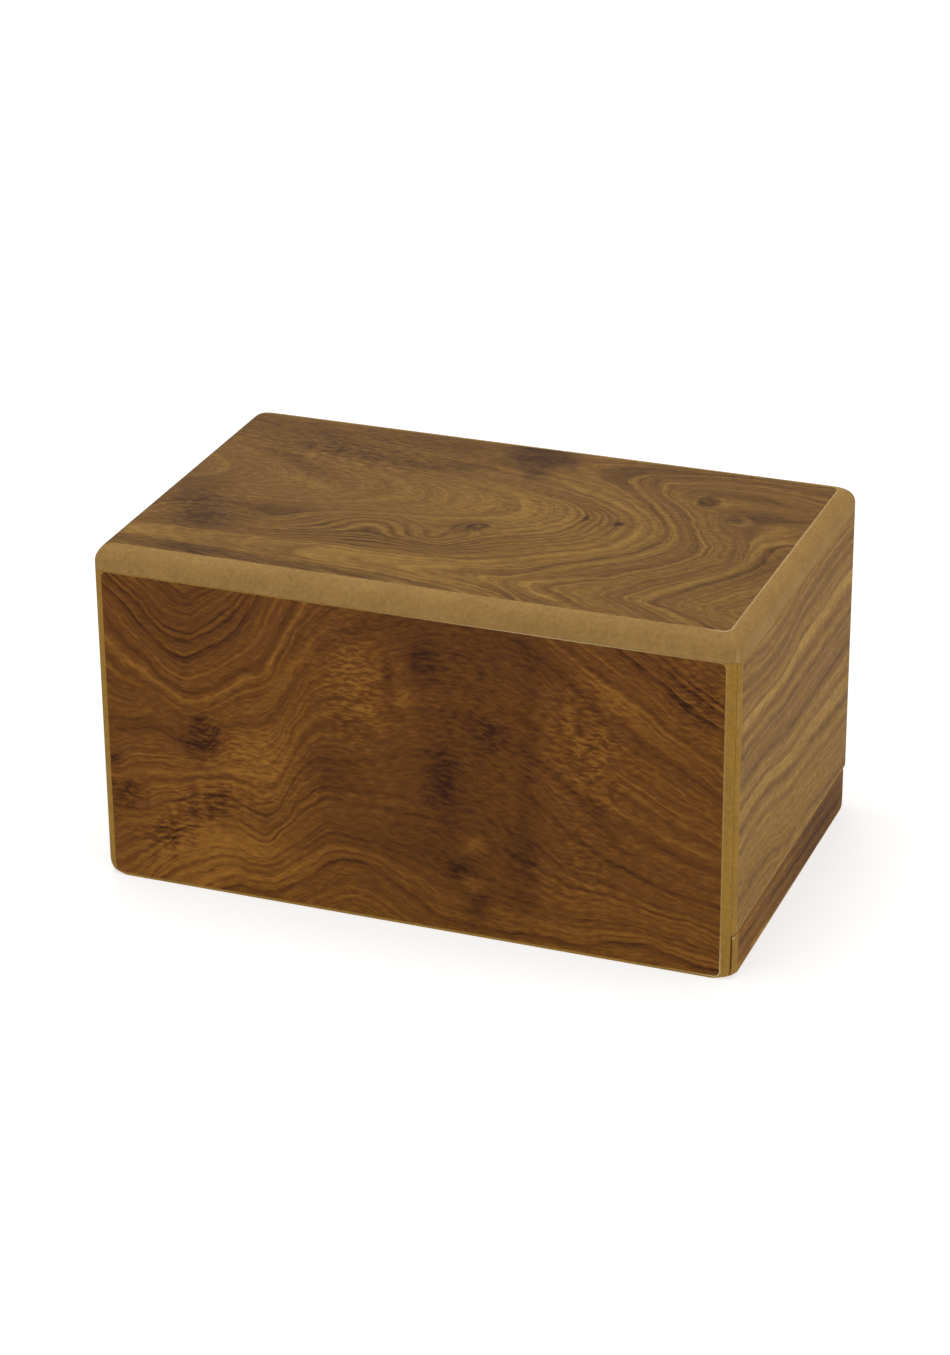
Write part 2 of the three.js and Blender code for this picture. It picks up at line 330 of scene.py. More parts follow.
TOP_FIGURE = Figure(
    upright=True,
    # Painted light: the lit top is barely tinted
    painted_light_tint=(0.99, 0.98, 1.05),
    grain=0.5,
    lines={
        0: [
            (-76, -120), (-67, -160), (-60, -215), (-48, -215), (-40, -130), (-25, -110), (-15, -60),
            (-8, -20), (0, 5), (10, 12), (18, 8), (26, -10), (33, -90), (76, -200),
        ],
        26: [
            (-76, -70), (-67, -110), (-60, -190), (-48, -190), (-44, -130), (-40, -90), (-36, -60),
            (-28, -13), (-22.5, 0), (-19, 10), (-15, 19), (-10, 28), (-3, 33.5), (3, 36), (9.5, 37.5),
            (15, 35), (20, 29.5), (25, 19), (28, 11), (32, -5), (36, -50), (42, -110), (76, -180),
        ],
        46: [
            (-76, 28), (-72, 20), (-67, 8), (-64, -15), (-61, -70), (-58.5, -150), (-49, -150),
            (-47, -80), (-44.5, -30), (-42, 0), (-38, 14), (-32, 26), (-24, 37.5), (-16, 48),
            (-7, 54.5), (3, 56), (13.5, 53), (20, 48), (26, 40), (31.5, 30), (35.5, 19), (40, 7),
            (46, -30), (54, -90), (76, -160),
        ],
        60: [
            (-76, 47), (-68, 37.5), (-63.5, 32.5), (-59, 26), (-54.5, 17), (-53, 17), (-50, 27.5),
            (-45, 32), (-39.5, 37.5), (-33, 44), (-28, 50.5), (-20, 59.5), (-14, 65), (-7, 68.5),
            (0.5, 70), (9.5, 68.5), (18.5, 64.5), (27.5, 58), (35.5, 50.5), (43, 44), (50, 40),
            (56, 42), (61, 50), (65, 66), (67, 92), (70, 140),
        ],
        76: [
            (-76, 62), (-68, 50), (-61.5, 37.5), (-54.5, 30), (-53, 30), (-52, 33), (-46, 43),
            (-41, 54), (-38, 61), (-30.5, 68.5), (-23, 77.5), (-12.5, 84), (-2, 85), (7, 81.5),
            (17, 75), (27.5, 70), (35.5, 62), (43, 54.5), (52, 51.5), (57, 55), (61, 66), (63, 85),
            (66, 130),
        ],
        88: [
            (-76, 92), (-67, 80), (-59.5, 71), (-54.5, 64), (-53, 64), (-48.5, 66.5), (-41, 70),
            (-34, 76), (-25, 84), (-15, 91.5), (-7, 94), (3, 91.5), (13.5, 84), (24, 77.5), (33, 71),
            (39, 66), (44.5, 64.5), (50, 69), (53, 80), (56, 110), (62, 150),
        ],
        96: [
            (-76, 104), (-66, 90), (-58, 78), (-54.5, 71), (-53, 71), (-48, 75), (-42, 79), (-34, 86),
            (-26.5, 93), (-17.5, 99), (-8.5, 102), (0.5, 101), (11, 96.5), (20, 91), (26, 88), (31, 91),
            (34, 103), (38, 130), (50, 170),
        ],
        104: [
            (-76, 118), (-66, 102), (-58, 88), (-54.5, 81), (-53, 81), (-48, 84), (-42, 87.5),
            (-34, 93), (-26.5, 98.5), (-17.5, 103.5), (-8.5, 106), (-1, 106), (4, 107), (8, 110),
            (11, 116), (15, 130), (30, 170),
        ],
    },
    rings=[
        Ring(8, 0.9, -0.14), Ring(13, 0.8, -0.16), Ring(18, 0.9, -0.2), Ring(22, 0.8, -0.3),
        Ring(26, 0.9, -0.36), Ring(29.5, 0.8, -0.32), Ring(33, 0.8, -0.32), Ring(36.5, 0.9, -0.26),
        Ring(40, 0.8, -0.2), Ring(50, 6, 0.14), Ring(60, 1.8, -0.42), Ring(64, 1.3, 0.18),
        Ring(67.5, 0.8, -0.24), Ring(71, 1, 0.16), Ring(75, 1, -0.28), Ring(78.5, 0.8, 0.12),
        Ring(81.5, 0.7, -0.22), Ring(84.5, 0.8, 0.12), Ring(88, 0.9, -0.28), Ring(90.3, 0.7, 0.1),
        Ring(92.5, 0.8, -0.24), Ring(94.8, 0.7, -0.16), Ring(97, 1.1, -0.26), Ring(100, 0.8, -0.2),
        Ring(103, 1.6, 0.18), Ring(108, 1.4, -0.24), Ring(112, 1, -0.16),
    ],
    swells=[
        Patch(-70, -20, 16, 14, -12), Patch(-38, -20, 17, 15, 8), Patch(-8, -26, 14, 12, -13),
        Patch(122, 56, 24, 14, -11), Patch(2.5, -10, 5, 5, 6), Patch(74.5, 40, 4, 6, 4),
        Patch(90, 26, 5, 5, 4),
    ],
    tints=[
        Patch(1, 62, 14.5, 15, -0.44, 0, 1.6), Patch(5, 44, 4, 6, -0.3, 15),
        Patch(-70, 62, 50, 10, -0.24), Patch(-58, 40, 26, 5, -0.13, -12),
        Patch(-25, 42, 18, 5, -0.2, 20), Patch(-75, 44, 30, 10, -0.12),
        Patch(-84, 26, 20, 4, -0.22, -30), Patch(-105, -20, 12, 22, -0.28, 25),
        Patch(-94, -36, 14, 10, -0.22), Patch(-74, -22, 16, 9, -0.2, 15), Patch(-88, -64, 16, 5, -0.2),
        Patch(-30, -66, 60, 2.5, -0.16), Patch(2.5, -10.5, 3.2, 4.5, -0.55, 0, 2),
        Patch(2.5, -10, 1.6, 2.6, 0.45), Patch(-3, -13, 4, 5, -0.25), Patch(36.5, 9.5, 1.8, 2.4, -0.4),
        Patch(50.5, 7.5, 2.4, 2.6, -0.55), Patch(74.5, 40, 3.4, 5.6, -0.44, 0, 2),
        Patch(74.5, 40, 1.5, 3, 0.4), Patch(90, 26, 3, 3.6, -0.34), Patch(104, 31, 14, 4, -0.26, -8),
        Patch(90, 48, 26, 3.5, -0.22, -3), Patch(108, 9, 8, 5, 0.06),
        Patch(112, -14, 5, 14, -0.12, -15), Patch(-18, -51, 44, 6, 0.12), Patch(36, -6, 22, 24, 0.1),
        Patch(60, 62, 50, 8, -0.08), Patch(-72, 8, 14, 3, 0.12, -22), Patch(0, 10, 26, 20, 0.1),
        Patch(12, -56, 32, 10, 0.12), Patch(-34, 56, 14, 10, -0.1),
    ],
    curls=[Patch(-70, 42, 40, 18, 0.55), Patch(-100, -26, 20, 18, 0.4), Patch(14, 14, 20, 18, 0.2)],
    calms=[Patch(-80, 12, 60, 26, 0.9), Patch(-70, 50, 70, 22, 0.7), Patch(-98, -30, 22, 18, 0.5)],
    bolds=[Patch(-38, -27, 30, 15, 1.1)],
    hues_and_warm_bounce=[Patch(20, -34, 60, 40, 0.09), Patch(-110, 0, 40, 80, -0.08), Patch(60, 66, 80, 16, -0.09)],
)
RIGHT_FIGURE = Figure(
    # Painted light and painted reflection: the lit right side is made lighter and bluer
    painted_light_tint=(1.4, 1.47, 1.68),
    grain=0.46,
    wander=0.4,
    fibre=16.0,
    lines={
        -20: [(-76, -18), (76, -28)],
        25: [
            (-76, 28), (-60, 29), (-50, 30), (-40, 30), (-28, 28.5), (-16.5, 25), (-5, 23), (9, 23.5),
            (25, 22.5), (42, 21), (76, 19),
        ],
        55: [
            (-76, 57), (-50, 59), (-40, 58.5), (-28, 56.5), (-16.5, 54), (-5, 52.5), (19, 52),
            (42, 49.5), (76, 48),
        ],
        73: [(-76, 75.5), (-50, 75.5), (-28, 73), (-5, 70.5), (19, 71), (76, 71)],
        92: [(-76, 94), (-40, 92), (-20, 91), (0, 92.5), (76, 92.5)],
        100: [
            (-76, 100), (-50, 99.5), (-40, 98.5), (-28, 97.5), (-16.5, 97.5), (-9.5, 99), (1, 101),
            (13, 102), (30, 101.5), (49, 103), (76, 102),
        ],
        112: [
            (-76, 113), (-60, 111), (-50, 109), (-28, 108), (-16.5, 109), (-9.5, 110.5), (-2.5, 113),
            (9, 114.5), (25, 115), (40, 115.5), (76, 114),
        ],
    },
    rings=[
        Ring(20, 1, -0.26), Ring(25, 1.1, -0.4), Ring(55, 1.1, -0.46), Ring(60, 2.4, 0.16),
        Ring(64, 0.9, -0.24), Ring(68, 2.4, 0.14), Ring(73, 1.2, -0.2), Ring(82, 9, -0.1),
        Ring(84, 1, -0.16), Ring(91, 1, -0.18), Ring(96.5, 2.2, 0.32), Ring(100, 0.9, -0.32),
        Ring(112, 1.1, -0.34), Ring(121, 1.2, -0.22),
    ],
    swells=[],
    tints=[Patch(-50, 30, 30, 10, -0.08), Patch(-50, 45, 40, 12, 0.06), Patch(0, 34, 80, 14, 0.05)],
    curls=[],
    # Less blue low towards the front, partly painted warm light from the floor; more blue high at the back
    hues_and_warm_bounce=[Patch(-20, 30, 70, 28, 0.15), Patch(70, 80, 40, 40, -0.08)],
)
BACK_FIGURE = Figure(
    # Painted light and shade, halfway between the shaded front and the lit sides
    painted_light_tint=(0.95, 0.83, 0.76),
    lines={
        0: [(-122, 4), (-40, 10), (30, -6), (122, 8)],
        70: [(-122, 60), (-60, 84), (0, 66), (60, 78), (122, 58)],
        120: [(-122, 118), (-60, 130), (0, 104), (60, 126), (122, 112)],
    },
    rings=[Ring(20, 1.2, -0.3), Ring(48, 1.2, -0.3), Ring(76, 2, 0.2), Ring(96, 1.2, -0.3)],
    swells=[Patch(44, 40, 8, 7, 6)],
    tints=[Patch(44, 40, 7, 6, -0.4), Patch(-30, 70, 30, 40, -0.15)],
    curls=[Patch(-30, 70, 30, 40, 0.6)],
)
LEFT_FIGURE = Figure(
    painted_light_tint=(0.95, 0.83, 0.76),
    # Painted light and shade, halfway between the shaded front and the lit sides
    wander=0.5,
    fibre=12.0,
    lines={0: [(-76, 3), (0, -4), (76, 6)], 120: [(-76, 116), (0, 124), (76, 118)]},
    rings=[Ring(24, 1, -0.34), Ring(58, 1, -0.3), Ring(90, 2, 0.2), Ring(97, 1, -0.3)],
    swells=[],
    tints=[Patch(-20, 75, 50, 12, -0.2)],
    curls=[],
)
STRIP_FIGURE = Figure(
    # Painted light: the strip, lit like the right side above it, is made lighter and warmer
    painted_light_tint=(1.4, 1.24, 0.7),
    wander=0.4,
    fibre=16.0,
    lines={-20: [(-76, -20), (76, -24)], 25: [(-76, 26), (0, 23), (76, 20)]},
    rings=[
        Ring(2.5, 1.2, 0.4), Ring(5, 0.6, -0.25), Ring(8, 0.8, 0.25), Ring(11, 0.8, -0.25),
        Ring(15, 1, 0.2),
    ],
    swells=[],
    tints=[Patch(0, 9, 300, 60, -0.2), Patch(36, 8, 46, 30, -0.22)],
    curls=[],
)
FIGURES = {
    "front": FRONT_FIGURE,
    "top": TOP_FIGURE,
    "right": RIGHT_FIGURE,
    "back": BACK_FIGURE,
    "left": LEFT_FIGURE,
    "strip": STRIP_FIGURE,
}

# The axes of each face's print: across, up and outwards
FACES = {
    "front": ((1, 0, 0), (0, 0, 1), (0, -1, 0)),
    "back": ((-1, 0, 0), (0, 0, 1), (0, 1, 0)),
    "left": ((0, -1, 0), (0, 0, 1), (-1, 0, 0)),
    "right": ((0, 1, 0), (0, 0, 1), (1, 0, 0)),
    "top": ((1, 0, 0), (0, 1, 0), (0, 0, 1)),
}
FACES["strip"] = FACES["right"]


class Foil(NamedTuple):
    """Where one face's foil was left by the router, in millimetres on that face.

    Outer is how far out the face lies. Lips are where the cut paper shows as a pale line, and chips are
    pale nicks. The edge is ragged by noise and soft over a width, and wraps a little way round. Below
    its edge depth the board is raw.
    """

    outer: float
    left: float
    right: float
    low: float
    high: float
    lips: list
    corner: float = 2.0
    ragged: float = 0.4
    soft: float = 0.1
    edge_colour: str = "edge_wall"
    edge_depth: float = 1.8
    wrap: float = 0.6
    chips: list = []


FOILS = {
    "front": Foil(
        outer=HALF_DEPTH,
        left=3.7 - HALF_LENGTH,
        right=HALF_LENGTH - 4.9,
        low=1.3,
        high=WALL_TOP - 0.5,
        lips=[
            Patch(52, WALL_TOP, 50, 6, 0.8), Patch(HALF_LENGTH, 62, 8, 90, 0.4),
            Patch(HALF_LENGTH, 2, 16, 10),
        ],
    ),
    "right": Foil(
        outer=HALF_LENGTH,
        left=4.4 - HALF_DEPTH,
        right=HALF_DEPTH - 3.6,
        low=SLOT + 0.5,
        high=WALL_TOP - 0.9,
        lips=[Patch(0, SLOT, 100, 4, 0.5), Patch(-48, WALL_TOP, 14, 4, 0.5)],
        ragged=1.0,
        soft=0.3,
    ),
    "back": Foil(
        outer=HALF_DEPTH,
        left=4.2 - HALF_LENGTH,
        right=HALF_LENGTH - 4.2,
        low=1.3,
        high=WALL_TOP - 0.4,
        lips=[Patch(-60, WALL_TOP, 50, 6), Patch(-HALF_LENGTH, 50, 8, 60)],
    ),
    "left": Foil(
        outer=HALF_LENGTH,
        left=3.8 - HALF_DEPTH,
        right=HALF_DEPTH - 3.8,
        low=1.3,
        high=WALL_TOP - 0.4,
        lips=[Patch(HALF_DEPTH, 70, 8, 60)],
    ),
    "top": Foil(
        outer=TOP_HIGH.z,
        left=0.9 - HALF_LENGTH,
        right=HALF_LENGTH - 5.9,
        low=6.1 - HALF_DEPTH,
        high=HALF_DEPTH - 6.0,
        lips=[Patch(HALF_LENGTH, 0, 10, 120, 1.0), Patch(HALF_LENGTH - 8, -HALF_DEPTH, 8, 10)],
        chips=[Patch(HALF_LENGTH - 0.9, 1.1 - HALF_DEPTH, 0.7, 0.7, 0.3)],
        corner=3.0,
        wrap=3.2,
        ragged=0.8,
        soft=0.25,
        edge_colour="edge_top",
        edge_depth=TOP_HIGH.z - WALL_TOP - 0.1,
    ),
    "strip": Foil(
        outer=HALF_LENGTH,
        left=6.4 - HALF_DEPTH,
        right=HALF_DEPTH - 5.5,
        low=1.2,
        high=SLOT - 0.5,
        lips=[],
        chips=[Patch(1.9 - HALF_DEPTH, SLOT - 1.1, 1.1, 0.5, 0.8)],
    ),
}

# Sizes in the print, in millimetres on the face
LINE_WANDERS = ((16, 1.6), (5, 0.5))  # spacing and reach of the growth lines' slow bends and small kinks
TINT_WANDER = (7, 3.0)  # ragged edges of the smoky patches
CURL_WANDER = (6, 0.9)  # unsteadiness of the crinkles
CURL_SIZE = (4.2, 1.4)  # length and width of a crinkle in the curly patches
BAND_SPACING = 13  # broad bands of tone
GRAIN_SPACING = 3.2  # fine lines between the drawn ones
FADE_SPACING = 16  # places where the lines fade
FIBRE_WIDTH = 0.8  # pores are about 0.2 mm wide, drawn four times as wide so that they show

# Half the length of face and half the height that the key lines' curves span, in millimetres
CURVE_HALF, CURVE_REACH = 130, 220

# How strongly the drawn lines and the fine lines show
DRAWN_DEPTH, GRAIN_DEPTH = 0.75, 0.22


def gathered(tree, point, patches, start):
    """Add the patches' soft ovals, each times its strength, to a starting value."""
    total = start
    for patch in patches:
        oval_frame = {
            "Vector": point,
            "Location": (patch.u, patch.v, 0),
            "Rotation": (0, 0, math.radians(patch.turn)),
            "Scale": (patch.wide, patch.high, 1),
        }
        local = add(tree, MAPPING, oval_frame, vector_type="TEXTURE")
        square = add(tree, VECTORS, [local, local], "DOT_PRODUCT").node.outputs["Value"]
        if patch.hard != 1:
            square = add(tree, MATHS, [square, patch.hard], "POWER")
        oval = add(tree, MATHS, [math.exp(-1), square], "POWER")
        total = add(tree, MATHS, [oval, patch.strength, total], "MULTIPLY_ADD")
    return total


def wandered(tree, flat, spacing, reach, detail=1.0):
    """The point moved by a soft random wander of the given spacing and reach, in millimetres."""
    wander = {"Vector": flat, "Scale": 1 / spacing, "Detail": detail}
    wander = add(tree, NOISE, wander, noise_dimensions="2D").node.outputs["Color"]
    wander = add(tree, VECTORS, [wander, (0.5, 0.5, 0.5)], "SUBTRACT")
    reaches = (2 * reach, 2 * reach, 0)
    return add(tree, VECTORS, [wander, reaches, flat], "MULTIPLY_ADD")


def growth_lines(tree, flat, figure):
    """Each point's level among the growth lines, and its way along them."""
    bent = flat
    for spacing, reach in LINE_WANDERS:
        bent = wandered(tree, bent, spacing, reach * figure.wander)
    parts = add(tree, SPLIT, {"Vector": bent}).node.outputs
    way, across = (parts["Y"], parts["X"]) if figure.upright else (parts["X"], parts["Y"])

    # Each key line is a curve from the way along the face to the line's height there
    along = add(tree, RANGE, {"Value": way, "From Min": -CURVE_HALF, "From Max": CURVE_HALF})
    levels = sorted(figure.lines)
    heights = []
    for level in levels:
        curve = add(tree, "ShaderNodeFloatCurve", {"Value": along})
        mapping = curve.node.mapping
        points = mapping.curves[0].points
        places = [
            ((u + CURVE_HALF) / CURVE_HALF / 2, (v + CURVE_REACH) / CURVE_REACH / 2)
            for u, v in figure.lines[level]
        ]
        points[0].location = places[0]
        points[1].location = places[-1]
        for place in places[1:-1]:
            points.new(*place)
        for point in points:
            point.handle_type = "AUTO_CLAMPED"
        mapping.update()
        heights.append(add(tree, MATHS, [curve, 2 * CURVE_REACH, -CURVE_REACH], "MULTIPLY_ADD"))

    # The level rises evenly from one key line to the next, and by millimetres outside them
    below = add(tree, MATHS, [across, heights[0]], "SUBTRACT")
    below = add(tree, MATHS, [below, 0.0], "MINIMUM")
    above = add(tree, MATHS, [across, heights[-1]], "SUBTRACT")
    above = add(tree, MATHS, [above, 0.0], "MAXIMUM")
    total = add(tree, MATHS, [below, above], "ADD")
    for i, height in enumerate(heights[1:]):
        span = {"From Min": heights[i], "From Max": height, "To Max": levels[i + 1] - levels[i]}
        share = add(tree, RANGE, {"Value": across, **span})
        total = add(tree, MATHS, [total, share], "ADD")
    total = add(tree, MATHS, [total, levels[0]], "ADD")
    return gathered(tree, bent, figure.swells, total), way


def printed_burl(tree, flat, figure, colours):
    """Colour of the print: growth lines, pale bands, smoky patches and fine curl, with each face's painted
    light and shade laid over it, and painted warm floor light low on the walls.
    """
    growth, way = growth_lines(tree, flat, figure)
    bands = {"W": growth, "Scale": 1 / BAND_SPACING, "Detail": 1.0, "Roughness": 0.5}
    bands = add(tree, NOISE, bands, noise_dimensions="1D")

    # The drawn lines, and fine random ones between them
    drawn = 0.0
    for ring in figure.rings:
        away = add(tree, MATHS, [growth, 1 / ring.width, -ring.level / ring.width], "MULTIPLY_ADD")
        square = add(tree, MATHS, [away, away], "MULTIPLY")
        line = add(tree, MATHS, [math.exp(-1), square], "POWER")
        drawn = add(tree, MATHS, [line, ring.strength * DRAWN_DEPTH, drawn], "MULTIPLY_ADD")
    fine = {"W": growth, "Scale": 1 / GRAIN_SPACING, "Detail": 4.0, "Roughness": 0.68}
    fine = add(tree, NOISE, fine, noise_dimensions="1D")
    depth = GRAIN_DEPTH * figure.grain
    fine = {"Value": fine, "From Min": 0.36, "From Max": 0.64, "To Min": -depth, "To Max": depth}
    fine = add(tree, RANGE, fine)
    lines = add(tree, MATHS, [fine, drawn], "ADD")

    # Where the lines fade or stand out
    presence = {"Vector": flat, "Scale": 1 / FADE_SPACING, "Detail": 2.0}
    presence = add(tree, NOISE, presence, noise_dimensions="2D")
    presence = add(tree, RANGE, {"Value": presence, "From Min": 0.3, "From Max": 0.6, "To Min": 0.4})
    calm = gathered(tree, flat, figure.calms, 0.0)
    veil = add(tree, RANGE, {"Value": calm, "To Min": 1.0, "To Max": 0.1})
    bold = gathered(tree, flat, figure.bolds, 1.0)
    strength = add(tree, MATHS, [presence, veil], "MULTIPLY")
    strength = add(tree, MATHS, [strength, bold], "MULTIPLY")

    # Crinkled curl, and fibre along the lines
    curl = wandered(tree, flat, *CURL_WANDER)
    curl = add(tree, MAPPING, {"Vector": curl, "Scale": (1 / CURL_SIZE[0], 1 / CURL_SIZE[1], 1)})
    curl = add(tree, NOISE, {"Vector": curl, "Scale": 1.0, "Detail": 2.5}, noise_dimensions="2D")
    curl = {"Value": curl, "From Min": 0.34, "From Max": 0.66, "To Min": -0.25, "To Max": 0.25}
    curl = add(tree, RANGE, curl)
    curled = gathered(tree, flat, figure.curls, 0.25)
    fibre = add(tree, JOIN, {"X": way, "Y": growth})
    fibre = add(tree, MAPPING, {"Vector": fibre, "Scale": (1 / figure.fibre, 1 / FIBRE_WIDTH, 1)})
    fibre = {"Vector": fibre, "Scale": 1.0, "Detail": 2.0, "Roughness": 0.6}
    fibre = add(tree, NOISE, fibre, noise_dimensions="2D")

    # All of them as one tone, from dark through the body to light
    tone = add(tree, MATHS, [bands, 0.4, 0.32 - 0.35 * figure.grain], "MULTIPLY_ADD")
    tone = add(tree, MATHS, [fibre, 0.7 * figure.grain, tone], "MULTIPLY_ADD")
    tone = add(tree, MATHS, [lines, strength, tone], "MULTIPLY_ADD")
    tone = add(tree, MATHS, [curl, curled, tone], "MULTIPLY_ADD")
    ragged = wandered(tree, flat, *TINT_WANDER, detail=2.0)
    tone = gathered(tree, ragged, figure.tints, tone)
    body = (*colours.foil_dark, 1)
    for low, paint in ((0.0, colours.foil_mid), (0.5, colours.foil_light)):
        share = add(tree, RANGE, {"Value": tone, "From Min": low, "From Max": low + 0.5})
        body = add(tree, MIX, {"Factor": share, "A": body, "B": (*paint, 1)}, data_type="RGBA")
    # Each face's tint is painted light and shade
    body = add(tree, VECTORS, [body, figure.painted_light_tint], "MULTIPLY")
    # Warm patches: painted warm floor light low on the walls, the print's own hue elsewhere
    hue_and_bounce = gathered(tree, flat, figure.hues_and_warm_bounce, 0.0)
    blue = add(tree, MATHS, [1.0, hue_and_bounce], "SUBTRACT")
    warmth = add(tree, JOIN, {"X": 1.0, "Y": 1.0, "Z": blue})
    return add(tree, VECTORS, [body, warmth], "MULTIPLY")


# Sizes in MDF, in millimetres. The real fibres are under 0.3 mm, and are drawn coarser so that they show.
BLOTCH_SPACING = 14
FELT_SPACING = 1.7
SPECK_SPACING = 1.6


def felted_fibre(tree, point, board_colour):
    """Colour and height of MDF: felted wood fibre, blotchy along the board, with small dark specks."""
    blotch = add(tree, NOISE, {"Vector": point, "Scale": 1 / BLOTCH_SPACING, "Detail": 2.0})
    fibre = {"Vector": point, "Scale": 1 / FELT_SPACING, "Detail": 3.0, "Roughness": 0.6}
    fibre = add(tree, NOISE, fibre)
    speck = {"Vector": point, "Scale": 1 / SPECK_SPACING, "Detail": 2.0, "Distortion": 0.6}
    speck = add(tree, NOISE, speck)
    speck = add(tree, RANGE, {"Value": speck, "From Min": 0.68, "From Max": 0.76})
    tone = add(tree, MATHS, [blotch, 0.36, 0.47], "MULTIPLY_ADD")
    tone = add(tree, MATHS, [fibre, 0.7, tone], "MULTIPLY_ADD")
    tone = add(tree, MATHS, [speck, -0.22, tone], "MULTIPLY_ADD")
    return add(tree, VECTORS, {0: board_colour, "Scale": tone}, "SCALE"), fibre


def empty_material(name):
    """A new material and its empty node tree."""
    material = bpy.data.materials.new(name)
    material.use_nodes = True
    material.node_tree.nodes.clear()
    return material, material.node_tree


# Sizes in the foil's surface, in millimetres
NICK_SPACING = 1.4  # unevenness of the routed edge
SHEEN_SPACING = 9  # cloudiness of the gloss
PEEL_SPACING = 0.7  # orange peel of the lacquer
LIP_START, LIP_END = 0.2, 0.6  # where the cut paper fades out, beyond the foil


def burl_foil(face, colours):
    """Printed burl-walnut paper foil under satin lacquer, cut away by the router at the edges."""
    # A picture of wood with no pores to catch the light: rich and dark with a dull, even gloss,
    # a pale paper line where it was cut, and warm matt MDF beyond
    cut = FOILS[face]
    material, tree = empty_material(f"burl_foil_{face}")
    place = add(tree, "ShaderNodeTexCoord").node.outputs["Object"]
    turn = Matrix(FACES[face]).to_euler()
    on_face = {"Vector": place, "Rotation": tuple(turn), "Scale": (1 / MM, 1 / MM, 1 / MM)}
    point = add(tree, MAPPING, on_face)
    flat = add(tree, VECTORS, [point, (1, 1, 0)], "MULTIPLY")
    outwards = add(tree, SPLIT, {"Vector": point}).node.outputs["Z"]
    depth = add(tree, MATHS, [cut.outer, outwards], "SUBTRACT")

    # How far a point lies outside the foil's cut edge, in millimetres
    middle = ((cut.left + cut.right) / 2, (cut.low + cut.high) / 2, 0)
    half = ((cut.right - cut.left) / 2 - cut.corner, (cut.high - cut.low) / 2 - cut.corner, 0)
    away = add(tree, VECTORS, [flat, middle], "SUBTRACT")
    away = add(tree, VECTORS, [away], "ABSOLUTE")
    away = add(tree, VECTORS, [away, half], "SUBTRACT")
    away = add(tree, VECTORS, [away, (0, 0, 0)], "MAXIMUM")
    away = add(tree, VECTORS, [away], "LENGTH").node.outputs["Value"]
    ragged = add(tree, NOISE, {"Vector": point, "Scale": 1 / NICK_SPACING, "Detail": 2.0})
    away = add(tree, MATHS, [ragged, cut.ragged, away], "MULTIPLY_ADD")
    edge = cut.corner + cut.ragged / 2
    fade = {"To Min": 1.0, "To Max": 0.0}
    ends = {"From Min": edge - cut.soft, "From Max": edge + cut.soft}
    covered = add(tree, RANGE, {"Value": away, **ends, **fade})
    near = add(tree, MATHS, [depth, cut.wrap], "LESS_THAN")
    covered = add(tree, MATHS, [covered, near], "MULTIPLY")
    ends = {"From Min": edge + LIP_START, "From Max": edge + LIP_END}
    lip = add(tree, RANGE, {"Value": away, **ends, **fade})
    shown = gathered(tree, flat, cut.lips, 0.0)
    lip = add(tree, MATHS, [lip, shown], "MULTIPLY", use_clamp=True)
    lip = gathered(tree, flat, cut.chips, lip)

    edge_body, fibre = felted_fibre(tree, point, getattr(colours, cut.edge_colour))
    raw_body, _ = felted_fibre(tree, point, colours.raw_board)
    print_body = printed_burl(tree, flat, FIGURES[face], colours)
    inside = add(tree, MATHS, [depth, cut.edge_depth], "GREATER_THAN")
    paper = (*colours.paper, 1)
    body = add(tree, MIX, {"Factor": lip, "A": edge_body, "B": paper}, data_type="RGBA")
    body = add(tree, MIX, {"Factor": covered, "A": body, "B": print_body}, data_type="RGBA")
    body = add(tree, MIX, {"Factor": inside, "A": body, "B": raw_body}, data_type="RGBA")
    sheen = add(tree, NOISE, {"Vector": flat, "Scale": 1 / SHEEN_SPACING, "Detail": 3.0})
    gloss = add(tree, MATHS, [sheen, 0.2, 0.6], "MULTIPLY_ADD")
    gloss = add(tree, MIX, {"Factor": covered, "A": 0.78, "B": gloss}, data_type="FLOAT")
    gloss = add(tree, MIX, {"Factor": inside, "A": gloss, "B": 0.9}, data_type="FLOAT")

    # Lacquer peel on the foil, fibre on the bare board, and the small step at the foil's edge
    peel = add(tree, NOISE, {"Vector": point, "Scale": 1 / PEEL_SPACING, "Detail": 1.0})
    relief = add(tree, MIX, {"Factor": covered, "A": fibre, "B": peel}, data_type="FLOAT")
    grade = add(tree, MIX, {"Factor": covered, "A": 0.03, "B": 0.012}, data_type="FLOAT")
    relief = add(tree, MATHS, [relief, grade], "MULTIPLY")
    relief = add(tree, MATHS, [covered, 0.1, relief], "MULTIPLY_ADD")
    bumps = add(tree, "ShaderNodeBump", {"Height": relief, "Strength": 0.8, "Distance": MM})
    finish = {
        "Base Color": body,
        "Roughness": gloss,
        "Specular IOR Level": 0.05,
        "Coat Weight": 0.05,
        "Coat Roughness": 0.4,
        "Normal": bumps,
    }
    shader = add(tree, "ShaderNodeBsdfPrincipled", finish)
    add(tree, "ShaderNodeOutputMaterial", {"Surface": shader})
    return material


